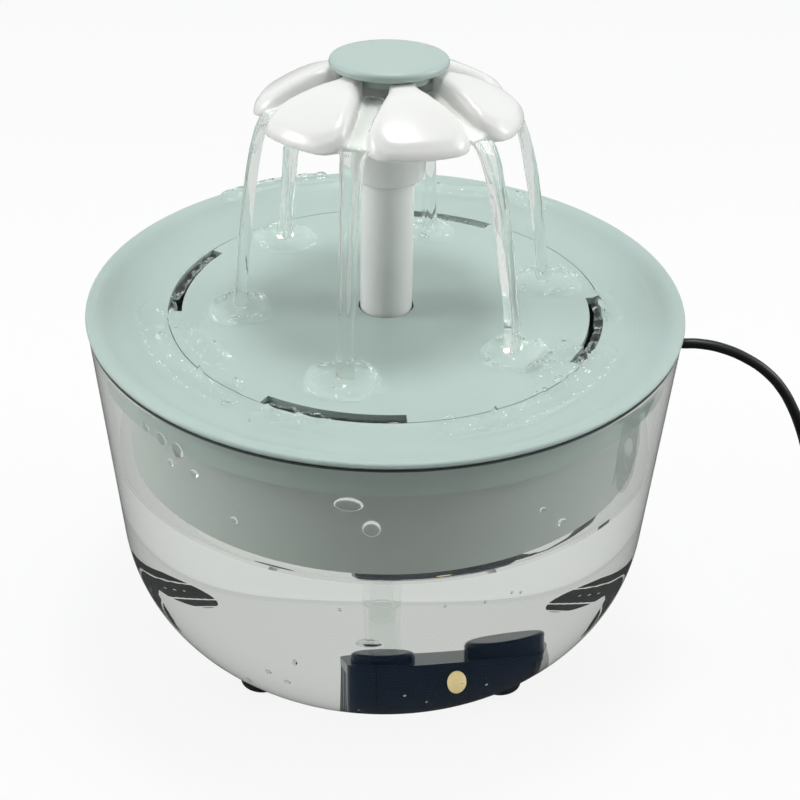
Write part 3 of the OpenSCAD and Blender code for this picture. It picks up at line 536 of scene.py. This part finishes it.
def standing_water():
    """The tank's water: a hair into the wall all round, with its edge drawn up the wall."""
    wet, drawn_up = WALL - 0.02, 1.4
    edge = wall_r(WATER_Z, wet)
    piece = turned("tank_water", [(0, GAP + wet)]
        + arc(CURVE_X, CURVE_Z, CURVE_R - wet, -90, -TAPER_DEG, CURVE_STEPS) + [(edge, WATER_Z)]
        + curve((wall_r(WATER_Z + drawn_up, wet), WATER_Z + drawn_up), (edge - 0.6, WATER_Z + 0.4),
            (edge - 1.8, WATER_Z), (edge - 3.4, WATER_Z), 6)
        + [(60, WATER_Z), (40, WATER_Z), (20, WATER_Z), (0, WATER_Z)], steps=WALL_STEPS, closed=False)
    piece.data.materials.append(water)
    piece.data.materials.append(water_side)
    for face in piece.data.polygons:
        c = face.center / MM
        at_wall = math.hypot(c.x, c.y) > wall_r(c.z, wet) - 0.05
        face.material_index = 1 if c.z < WATER_Z - 0.05 or at_wall else 0
    return piece


tank_water = standing_water()
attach(tank_water, "tank")

# ---- flower and cap: moulded with soft edges, and pushed on a little askew ----
# heights of the plate's top, the chamber wall's top, the channels' lips and the chamber's floor
PLATE_Z, WALL_TOP, LIP_Z, CHAMBER_Z = 118.2, 193.6, 181.6, 187.1
TIP, TIP_Z = math.radians(-3.3), 166


def tipped(unit):
    """The turn that tips the head back about the riser's top, in the given unit of length."""
    return (Matrix.Translation((0, 0, TIP_Z * unit)) @ Matrix.Rotation(TIP, 4, "X")
        @ Matrix.Translation((0, 0, -TIP_Z * unit)))


def skinned(piece, grid, rounds):
    """Gives a piece one even skin, on a grid in millimetres, and runs its edges out softly."""
    skin = piece.modifiers.new("skin", "REMESH")
    skin.mode = "VOXEL"
    skin.voxel_size = grid * MM
    even = piece.modifiers.new("even", "SMOOTH")
    even.factor = 0.5
    even.iterations = rounds
    apply_all(piece)
    bpy.ops.object.shade_smooth()


def soft_copy(node, name, grid, rounds):
    """A copy of a CAD piece whose edges run out softly, as a moulded piece's do."""
    piece = cad[node].copy()
    piece.data = cad[node].data.copy()
    for key in list(piece.keys()):
        del piece[key]
    bpy.context.scene.collection.objects.link(piece)
    piece.parent = None
    piece.matrix_world = cad[node].matrix_world
    piece.name = piece.data.name = name
    take(piece)
    bpy.ops.object.mode_set(mode="EDIT")
    bpy.ops.mesh.select_all(action="SELECT")
    bpy.ops.mesh.remove_doubles(threshold=2e-6)
    bpy.ops.object.mode_set(mode="OBJECT")
    settle(piece)
    skinned(piece, grid, rounds)
    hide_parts(node)
    return piece


flower = soft_copy("flower_head", "flower_moulded", 0.55, 34)
flower.matrix_world = tipped(MM)
settle(flower)
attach(flower, "flower")

# the cap: a plug that goes into the chamber, a rounded edge over its wall, and a hardly domed top
CAP_R, CAP_EDGE, PLUG_R, PLUG_Z = 17.0, 1.5, 13, WALL_TOP - 2.6
cap = turned("cap_moulded", [(0, PLUG_Z), (PLUG_R - 1.5, PLUG_Z), (PLUG_R, PLUG_Z), (PLUG_R, WALL_TOP)]
    + arc(CAP_R - CAP_EDGE, WALL_TOP + CAP_EDGE, CAP_EDGE, -90, 55, 12)
    + curve((CAP_R - 0.64, WALL_TOP + 2.73), (CAP_R - 1.6, WALL_TOP + 3.2), (CAP_R - 4, WALL_TOP + 3.25),
        (CAP_R - 6.5, WALL_TOP + 3.25), 8)
    + [(5, WALL_TOP + 3.3), (0, WALL_TOP + 3.3)], steps=120, closed=False, angle=50.0)
cap.data.materials.append(sage_abs)
cap.matrix_world = tipped(MM)
settle(cap)
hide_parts("flower_cap")
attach(cap, "cap")


# ---- running water ----
STREAM_NARROW = 4.8


def stream_rings(turn, foot, chance):
    """The rings of one stream that runs along +X before its turn: their centres, widths and thicknesses.
    Six lie in the channel, the rest fall from its lip to the foot on the plate."""
    back = turn.inverted()
    steady = tipped(1.0)
    channel = [(13.6, CHAMBER_Z + 1.7), (17, CHAMBER_Z + 1.2), (22, CHAMBER_Z - 0.7), (28, LIP_Z + 2.5),
        (32.4, LIP_Z + 1.1), (34.6, LIP_Z + 0.2)]
    line = [back @ (steady @ (turn @ Vector((r, 0, z)))) for r, z in channel]
    lip, end = line[-1], back @ Vector((foot[0], foot[1], PLATE_Z + 0.4))
    steps = 20
    for i in range(1, steps + 1):
        t = i / steps
        line.append(Vector((lip.x + (end.x - lip.x) * t, lip.y + (end.y - lip.y) * t,
            lip.z - (lip.z - end.z) * (0.1 * t + 0.9 * t * t))))
    lip_wide, lip_thick, foot_thick = 8.2, 1.8, STREAM_NARROW * 0.86
    wide = [6.6, 6.4, 5.4, 4.8, 5.4, 7.6]
    wide += [lip_wide - (lip_wide - STREAM_NARROW) * min(1, t / 16) ** 0.8 for t in range(steps)]
    thick = [2.2, 2.0, 1.7, 1.6, 1.6, 1.8]
    thick += [lip_thick + (foot_thick - lip_thick) * min(1, t / 9) for t in range(steps)]
    for i in range(len(channel), len(wide)):
        wide[i] *= 1 + chance.uniform(-0.06, 0.06)
        thick[i] *= 1 + chance.uniform(-0.08, 0.08)
        line[i].y += chance.uniform(-0.12, 0.12)
    wide[-1] *= 1.5
    thick[-1] *= 1.7
    return line, wide, thick


def falling_stream(name, azimuth, foot, chance):
    """One stream: along its channel, over the lip and down to its foot on the plate. It is drawn ring by
    ring as two round edges with a thin web between them, wide and thin where it leaves the lip, and
    narrower and rounder as it speeds up. It is built along +X and then turned to the channel's azimuth."""
    turn = Matrix.Rotation(math.radians(azimuth), 4, "Z")
    line, wide, thick = stream_rings(turn, foot, chance)
    deselect()
    bpy.ops.mesh.primitive_circle_add(vertices=20, radius=wide[0] / 2 * MM, fill_type="NGON",
        location=line[0] * MM, rotation=(0, math.pi / 2, 0))
    piece = named(name)
    settle(piece)
    bpy.ops.object.mode_set(mode="EDIT")
    bpy.ops.mesh.select_all(action="SELECT")
    bpy.ops.transform.resize(value=(1, 1, thick[0] / wide[0]), center_override=line[0] * MM)
    # the web: the middle of the ring is thinner than its edges
    web, web_thin = 0.26, 0.6
    shape = bmesh.from_edit_mesh(piece.data)
    for v in shape.verts:
        v.select = abs(v.co.y - line[0].y * MM) < web * wide[0] * MM
    shape.select_flush_mode()
    bmesh.update_edit_mesh(piece.data)
    bpy.ops.transform.resize(value=(1, 1, web_thin), center_override=line[0] * MM)
    bpy.ops.mesh.select_all(action="SELECT")
    lean = 0.0
    for i in range(1, len(line)):
        step = line[i] - line[i - 1]
        bpy.ops.mesh.extrude_region_move(TRANSFORM_OT_translate={"value": step * MM})
        ahead = line[min(i + 1, len(line) - 1)] - line[i - 1]
        want = math.atan2(-ahead.z, math.hypot(ahead.x, 0.0))
        bpy.ops.transform.rotate(value=-(want - lean), orient_axis="Y", center_override=line[i] * MM)
        lean = want
        kw, kt = wide[i] / wide[i - 1], thick[i] / thick[i - 1]
        bpy.ops.transform.resize(value=(kt, kw, kt), center_override=line[i] * MM)
    bpy.ops.object.mode_set(mode="OBJECT")
    round_off = piece.modifiers.new("round", "SUBSURF")
    round_off.levels = round_off.render_levels = 1
    apply_all(piece)
    piece.matrix_world = turn
    settle(piece)
    bpy.ops.object.shade_smooth()
    piece.data.materials.append(running)
    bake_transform(piece)


WATER_GRID = 0.4


def balls_in_one(name, balls):
    """One piece made of flattened balls, each (place in millimetres, rotation, scale)."""
    deselect()
    piece = None
    for spot, turn, scale in balls:
        bpy.ops.mesh.primitive_uv_sphere_add(segments=14, ring_count=8, radius=MM,
            location=tuple(v * MM for v in spot), rotation=turn, scale=scale)
        if piece is None:
            piece = named(name)
            settle(piece)
            bpy.ops.object.mode_set(mode="EDIT")
    bpy.ops.object.mode_set(mode="OBJECT")
    return piece


def pooled(name, balls, body, rounds, finish):
    """Water on a surface: flattened balls run into one skin. Each is (x, y, z, across, along, height,
    turn)."""
    piece = balls_in_one(name, [((x, y, z), (0, 0, turn), (a, b, h)) for x, y, z, a, b, h, turn in balls])
    skinned(piece, WATER_GRID, rounds)
    piece.data.materials.append(finish)
    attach(piece, body)


def splash(name, centre, half, turn, chance):
    """Where a stream lands: a thrown-up ring, higher in places, round a thin, fast sheet."""
    x, y = centre
    z = PLATE_Z
    balls = [(x, y, z, half[0] * 0.95, half[1] * 0.95, 0.6, turn)]
    count = 14
    for i in range(count):
        a = 2 * math.pi * i / count + chance.uniform(-0.1, 0.1)
        reach = chance.uniform(0.84, 1.08)
        u, v = half[0] * reach * math.cos(a), half[1] * reach * math.sin(a)
        px = x + u * math.cos(turn) - v * math.sin(turn)
        py = y + u * math.sin(turn) + v * math.cos(turn)
        size = chance.uniform(1.1, 1.9)
        balls.append((px, py, z, size, size * 2.4, chance.uniform(1.6, 3.4), turn + a))
    balls.append((x, y, z + 0.3, 3.6, 3.6, 1.2, 0.0))
    pooled(name, balls, "plate", 4, frothed)


dice = random.Random(7)
# each channel's azimuth, then its splash: place, half width and half length, and turn
landings = [(-165, (-44, -4.9), (8.6, 8.0), 0.2), (-105, (-11.4, -45.5), (10.2, 8.2), 0.0),
    (-45, (37, -29.6), (9.6, 7.6), 0.1), (15, (49, 14.6), (11, 7.6), 0.0),
    (75, (14.2, 48.5), (6.6, 6), 0.0), (135, (-33.3, 41.6), (9.4, 8.2), 0.0)]
for number, (azimuth, spot, half, turn) in enumerate(landings, 1):
    falling_stream(f"stream_{number}", azimuth, spot, dice)
    splash(f"splash_{number}", spot, half, turn, dice)


def top_of(node, x, y):
    """The height of a CAD piece's upper face at a place, in millimetres, or the plate's where there is
    none."""
    above = 300.0
    piece = cad[node]
    back = piece.matrix_world.inverted()
    down = (back.to_3x3() @ Vector((0, 0, -1))).normalized()
    hit, where, _, _ = piece.ray_cast(back @ Vector((x * MM, y * MM, above * MM)), down)
    return (piece.matrix_world @ where).z / MM if hit else PLATE_Z


def film(name, line, width, body, node, chance, ridge=1.5, level=None):
    """A flat run of water along a line of points: a thin sheet, a raised edge on both sides, and small
    ridges inside. The heights follow the piece that it lies on, or stay at a level where it runs over an
    edge."""
    def height(x, y):
        return top_of(node, x, y) if level is None else level

    balls = []
    for (x0, y0), (x1, y1) in zip(line, line[1:]):
        along = math.atan2(y1 - y0, x1 - x0)
        count = max(2, round(math.dist((x0, y0), (x1, y1)) / (0.45 * width + 0.8)))
        for i in range(count):
            t = i / count
            x, y = x0 + (x1 - x0) * t, y0 + (y1 - y0) * t
            half = width * chance.uniform(0.85, 1.1)
            balls.append((x, y, height(x, y), half * 1.2, half, 0.75, along))
            for side in (-1, 1):
                reach = side * half * chance.uniform(0.86, 1.0)
                ex, ey = x - reach * math.sin(along), y + reach * math.cos(along)
                balls.append((ex, ey, height(ex, ey), chance.uniform(1.8, 3.0),
                    chance.uniform(0.9, 1.4), ridge * chance.uniform(0.9, 1.5),
                    along + chance.uniform(-0.35, 0.35)))
            if width > 3 and chance.random() < 0.7:
                ex, ey = x + chance.uniform(-1, 1), y + chance.uniform(-0.5, 0.5) * width
                balls.append((ex, ey, height(ex, ey), chance.uniform(2.0, 3.4),
                    chance.uniform(0.9, 1.3), ridge * chance.uniform(1.1, 1.8),
                    along + chance.uniform(-1.2, 1.2)))
    pooled(name, balls, body, 3, thin_water)


def along_ring(radius, start, end):
    """Points on a ring about the riser, in millimetres, from one azimuth to another, evenly apart."""
    apart = 6.0
    count = max(1, round(abs(end - start) / apart))
    return [(radius * math.cos(math.radians(start + (end - start) * i / count)),
        radius * math.sin(math.radians(start + (end - start) * i / count))) for i in range(count + 1)]


bpy.context.view_layer.update()
# the wet runs on tray and plate: name, line, width, body and the piece below
for name, line, width, body, node in (
        ("film_left", [(-69.4, -4.5), (-67.6, -16), (-63.1, -27), (-57, -37.5), (-49.5, -46.6),
            (-41, -53.2)], 5.4, "tray", "drinking_tray"),
        ("film_front", [(-33, -61.6), (-24, -65.4), (-14, -67.8)], 3.6, "tray", "drinking_tray"),
        ("film_right", [(63.6, -26), (58.6, -36), (52.2, -45.4), (44.3, -53.6), (35.4, -59.8),
            (25.6, -64.4), (16, -67.4)], 4.2, "tray", "drinking_tray"),
        ("film_slot", [(66.8, 8), (68.4, 0), (68.2, -8)], 2.6, "tray", "drinking_tray"),
        ("film_on_plate_left", [(-57.6, -13), (-56, -21), (-51.6, -29.6), (-45.6, -37.6)], 3.4,
            "plate", "centre_plate"),
        ("film_on_plate_right", [(53.4, -25), (48.6, -33.4), (42.2, -41)], 3.2,
            "plate", "centre_plate")):
    film(name, line, width, body, node, dice)

# where it runs over the plate's edge into the slots, and the wet streaks on the rim behind
SLOT_EDGE_R = 65.5
for number, (start, end) in enumerate(((146, 176), (-122, -86), (-18, 4), (60, 78)), 1):
    film(f"run_in_{number}", along_ring(SLOT_EDGE_R, start, end), 1.2, "tray", "drinking_tray", dice,
        ridge=0.9, level=PLATE_Z - 1.3)
for name, line in (("rim_wet_left", [(-54, 67.5), (-46.2, 74.4), (-36.6, 79.8), (-21.4, 84.6)]),
        ("rim_wet_right", [(17.7, 80.4), (31.8, 77.2), (43.6, 72.2), (54.2, 65)])):
    film(name, line, 1.5, "tray", "drinking_tray", dice, ridge=1.2)


def beads(name, places, finish):
    """Drops or bubbles on the tank's inner wall, each (azimuth, height, half size, how much wider than
    high), made as one piece. One far down sits on the curve into the base."""
    flat = 0.6
    balls = []
    for azimuth, z, size, wider in places:
        if z >= CURVE_Z:
            r, lean = wall_r(z, WALL), -TAPER
        else:
            r = CURVE_X + math.sqrt((CURVE_R - WALL) ** 2 - (CURVE_Z - z) ** 2)
            lean = -math.asin((CURVE_Z - z) / (CURVE_R - WALL))
        a = math.radians(azimuth)
        balls.append(((r * math.cos(a), r * math.sin(a), z), (0, -lean, a),
            (size * flat, size * wider, size)))
    piece = balls_in_one(name, balls)
    bpy.ops.object.shade_smooth()
    piece.data.materials.append(finish)
    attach(piece, "tank")


beads("wall_drops", [(-96, 106.5, 2.2, 1.8), (-92, 98.5, 2.6, 1.0), (-138, 111.5, 1.6, 0.8),
    (-133.5, 111, 2.0, 0.9), (-129.5, 110, 2.6, 0.8), (-132, 104, 1.3, 1.0), (-126, 104.5, 1.2, 1.2),
    (-55, 89.5, 1.4, 1.0), (-60, 97, 1.0, 1.0), (-118, 93, 1.2, 1.0)], water)
beads("bubbles", [(-98, 68, 0.8, 1.0), (-78, 69, 0.7, 1.0), (-70, 68, 0.7, 1.0), (-64.5, 69, 0.6, 1.0),
    (-62.5, 68, 0.6, 1.0), (-92.5, 55.5, 2.0, 2.1), (-114, 36.5, 1.3, 1.0), (-107.5, 44, 1.6, 0.7),
    (-121, 26, 1.8, 0.8), (-110, 34, 1.1, 1.3), (-131.5, 23, 2.4, 1.6), (-85, 33, 0.4, 1.0),
    (-80, 28, 0.4, 1.0), (-95, 22, 0.4, 1.0), (-73, 36, 0.4, 1.0), (-67, 32, 0.4, 1.0)], air_bubble)


# ---- room: a pale table and surroundings that look white to the camera, and three soft lamps ----
WHITE = (1.0, 1.0, 1.0, 1.0)
# the table as bent rays see it, and how much of that tone is its own glow
BENT, BENT_SHARE = "#DCDEDB", 0.85
# the table as mirrored rays see it
MIRRORED = (0.03, 0.03, 0.03, 1.0)
# the room's tone and strength, and the share of that strength on the camera's side
ROOM_TONE, ROOM_STRENGTH, ROOM_FRONT = (0.92, 0.95, 0.97, 1.0), 0.6, 0.1
AIM = (0, 0, 0.1)
# each lamp's name, place, side and watts
LAMPS = (("lamp_top", (0.05, 0.02, 0.95), 0.22, 3.0), ("lamp_left", (-0.9, -0.05, 0.55), 0.4, 4.2),
    ("lamp_right", (0.9, 0.0, 0.55), 0.4, 3.8))


def table_finish():
    """The table's finish: matt under the lamps, near white to the camera, pale to rays that clear faces
    have bent, and dark to rays that faces have mirrored, so that no pale haze lies over dark pieces."""
    made, tree, shader = finish_of("pale_table", Roughness=0.9)
    shader.inputs["Base Color"].default_value = (0.8, 0.8, 0.8, 1.0)
    path = add(tree, "ShaderNodeLightPath")
    seen = add(tree, "ShaderNodeMath", {0: path.outputs["Is Camera Ray"],
        1: path.outputs["Is Glossy Ray"]}, operation="MAXIMUM")
    seen = add(tree, "ShaderNodeMath", {0: seen.outputs[0], 1: path.outputs["Is Transmission Ray"]},
        operation="MAXIMUM")
    mirrored = add(tree, "ShaderNodeMath", {0: path.outputs["Is Glossy Ray"],
        1: path.outputs["Is Transmission Ray"]}, operation="SUBTRACT", use_clamp=True)
    share = add(tree, "ShaderNodeMath", {0: seen.outputs[0], 1: BENT_SHARE}, operation="MULTIPLY")
    share = add(tree, "ShaderNodeMath", {0: share.outputs[0], 1: mirrored.outputs[0]},
        operation="MAXIMUM")
    tone = add(tree, "ShaderNodeMix", {0: mirrored.outputs[0], 6: colour(BENT), 7: MIRRORED},
        data_type="RGBA")
    tone = add(tree, "ShaderNodeMix", {0: path.outputs["Is Camera Ray"], 6: tone.outputs[2], 7: WHITE},
        data_type="RGBA")
    glow = add(tree, "ShaderNodeEmission", {"Color": tone.outputs[2], "Strength": 1.0})
    mix = add(tree, "ShaderNodeMixShader", {0: share.outputs[0], 1: shader.outputs[0],
        2: glow.outputs[0]})
    tree.links.new(mix.outputs[0], tree.nodes["Material Output"].inputs["Surface"])
    return made


def set_table():
    """A plane that the fountain stands on, larger than the picture."""
    deselect()
    bpy.ops.mesh.primitive_plane_add(size=8.0, location=(0, 0, 0))
    floor = named("floor")
    floor.data.materials.append(table_finish())


def set_surroundings():
    """A pale room whose camera side is the darkest. The camera itself sees white."""
    world = bpy.data.worlds.new("studio")
    bpy.context.scene.world = world
    world.use_nodes = True
    tree = world.node_tree
    path = add(tree, "ShaderNodeLightPath")
    place = add(tree, "ShaderNodeTexCoord")
    axes = add(tree, "ShaderNodeSeparateXYZ", {0: place.outputs["Generated"]})
    front = add(tree, "ShaderNodeMapRange", {0: axes.outputs["Y"], 1: -0.2, 2: -0.95, 3: 1.0,
        4: ROOM_FRONT}, interpolation_type="SMOOTHSTEP")
    back = tree.nodes["Background"]
    back.inputs["Color"].default_value = ROOM_TONE
    strength = add(tree, "ShaderNodeMath", {0: front.outputs[0], 1: ROOM_STRENGTH}, operation="MULTIPLY")
    tree.links.new(strength.outputs[0], back.inputs["Strength"])
    white = add(tree, "ShaderNodeBackground", {"Color": WHITE, "Strength": 1.0})
    mix = add(tree, "ShaderNodeMixShader", {0: path.outputs["Is Camera Ray"], 1: back.outputs[0],
        2: white.outputs[0]})
    tree.links.new(mix.outputs[0], tree.nodes["World Output"].inputs["Surface"])


def set_lamps():
    """Square lamps, aimed at the fountain's middle."""
    for name, place, side, watts in LAMPS:
        data = bpy.data.lights.new(name, "AREA")
        data.size = side
        data.energy = watts
        lamp = bpy.data.objects.new(name, data)
        lamp.location = place
        lamp.rotation_euler = (Vector(AIM) - Vector(place)).to_track_quat("-Z", "Y").to_euler()
        bpy.context.scene.collection.objects.link(lamp)


set_table()
set_surroundings()
set_lamps()
bpy.context.scene.view_settings.view_transform = "Standard"
